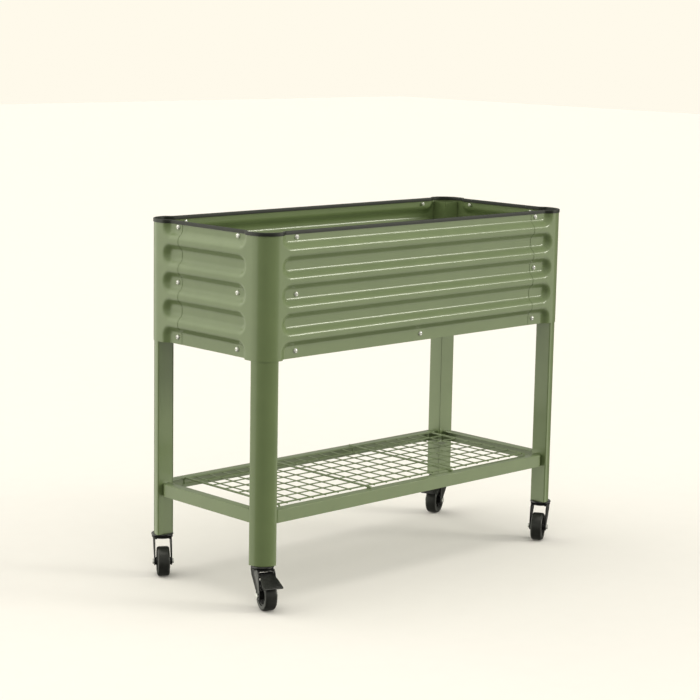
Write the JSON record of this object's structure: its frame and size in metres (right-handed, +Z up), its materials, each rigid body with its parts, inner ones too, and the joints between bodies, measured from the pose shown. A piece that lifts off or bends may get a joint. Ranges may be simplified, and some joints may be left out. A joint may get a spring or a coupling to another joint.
{
  "type": "raised planter on legs",
  "caption": "Raised corrugated steel planter trough on legs, with a wire shelf between the legs and braked swivel casters underneath.",
  "frame": {"origin": "bottom centre of the bounding box, on the ground under the planter", "axes": "+X along the trough to the right, +Y to the back, +Z up"},
  "size_m": [1.0256, 0.4715, 0.847],
  "materials": {
    "green_paint": "sage green powder coat, satin",
    "black_trim": "black edge trim, satin",
    "caster_black": "black pressed steel, semi-gloss",
    "wheel_tyre": "dark grey rubber, matt",
    "wheel_hub": "black nylon, satin",
    "bright_steel": "bright plated steel"
  },
  "bodies": {
    "root": {"leg_front_left": "green_paint", "leg_front_right": "green_paint", "leg_back_left": "green_paint", "leg_back_right": "green_paint", "corner_panel_front_left": "green_paint", "corner_panel_front_right": "green_paint", "corner_panel_back_left": "green_paint", "corner_panel_back_right": "green_paint", "panel_front": "green_paint", "panel_back": "green_paint", "panel_left": "green_paint", "panel_right": "green_paint", "rim_trim": "black_trim", "floor_panel_left": "green_paint", "floor_panel_right": "green_paint", "cross_beam": "green_paint", "rail_front": "green_paint", "rail_back": "green_paint", "rail_left": "green_paint", "rail_right": "green_paint", "wire_shelf": "green_paint", "bolt_front_left_top": "bright_steel", "bolt_front_left_middle": "bright_steel", "bolt_front_left_bottom": "bright_steel", "bolt_front_right_top": "bright_steel", "bolt_front_right_middle": "bright_steel", "bolt_front_right_bottom": "bright_steel", "bolt_front_centre": "bright_steel", "bolt_back_left_top": "bright_steel", "bolt_back_left_middle": "bright_steel", "bolt_back_left_bottom": "bright_steel", "bolt_back_right_top": "bright_steel", "bolt_back_right_middle": "bright_steel", "bolt_back_right_bottom": "bright_steel", "bolt_back_centre": "bright_steel", "caster_stem_front_left": "caster_black", "caster_stem_front_right": "caster_black", "caster_stem_back_left": "caster_black", "caster_stem_back_right": "caster_black"},
    "swivel_front_left": {"caster_fork_front_left": "caster_black", "caster_axle_front_left": "bright_steel"},
    "wheel_front_left": {"caster_tyre_front_left": "wheel_tyre", "caster_hub_front_left": "wheel_hub"},
    "pedal_front_left": {"brake_pedal_front_left": "caster_black"},
    "swivel_front_right": {"caster_fork_front_right": "caster_black", "caster_axle_front_right": "bright_steel"},
    "wheel_front_right": {"caster_tyre_front_right": "wheel_tyre", "caster_hub_front_right": "wheel_hub"},
    "swivel_back_left": {"caster_fork_back_left": "caster_black", "caster_axle_back_left": "bright_steel"},
    "wheel_back_left": {"caster_tyre_back_left": "wheel_tyre", "caster_hub_back_left": "wheel_hub"},
    "swivel_back_right": {"caster_fork_back_right": "caster_black", "caster_axle_back_right": "bright_steel"},
    "wheel_back_right": {"caster_tyre_back_right": "wheel_tyre", "caster_hub_back_right": "wheel_hub"},
    "pedal_back_right": {"brake_pedal_back_right": "caster_black"}
  },
  "joints": [
    {"name": "swivel_front_left", "type": "hinge", "parent": "root", "child": "swivel_front_left", "pos_m": [-0.46252, -0.15943, 0.09], "axis": [0, 0, 1], "continuous": true},
    {"name": "wheel_front_left", "type": "hinge", "parent": "swivel_front_left", "child": "wheel_front_left", "pos_m": [-0.47255, -0.18557, 0.035], "axis": [0.9336, -0.3584, 0], "continuous": true},
    {"name": "swivel_front_right", "type": "hinge", "parent": "root", "child": "swivel_front_right", "pos_m": [0.48068, -0.15943, 0.09], "axis": [0, 0, 1], "continuous": true},
    {"name": "wheel_front_right", "type": "hinge", "parent": "swivel_front_right", "child": "wheel_front_right", "pos_m": [0.45686, -0.17415, 0.035], "axis": [0.5255, -0.8508, 0], "continuous": true},
    {"name": "swivel_back_left", "type": "hinge", "parent": "root", "child": "swivel_back_left", "pos_m": [-0.46252, 0.20377, 0.09], "axis": [0, 0, 1], "continuous": true},
    {"name": "wheel_back_left", "type": "hinge", "parent": "swivel_back_left", "child": "wheel_back_left", "pos_m": [-0.47813, 0.18052, 0.035], "axis": [0.83, -0.5577, 0], "continuous": true},
    {"name": "swivel_back_right", "type": "hinge", "parent": "root", "child": "swivel_back_right", "pos_m": [0.48068, 0.20377, 0.09], "axis": [0, 0, 1], "continuous": true},
    {"name": "wheel_back_right", "type": "hinge", "parent": "swivel_back_right", "child": "wheel_back_right", "pos_m": [0.45509, 0.19242, 0.035], "axis": [0.4051, -0.9143, 0], "continuous": true},
    {"name": "brake_front_left", "type": "hinge", "parent": "swivel_front_left", "child": "pedal_front_left", "pos_m": [-0.47147, -0.18277, 0.077], "axis": [0.9336, -0.3584, 0], "range_deg": [0, 7]},
    {"name": "brake_back_right", "type": "hinge", "parent": "swivel_back_right", "child": "pedal_back_right", "pos_m": [0.45783, 0.19364, 0.077], "axis": [0.4051, -0.9143, 0], "range_deg": [0, 7]}
  ]
}
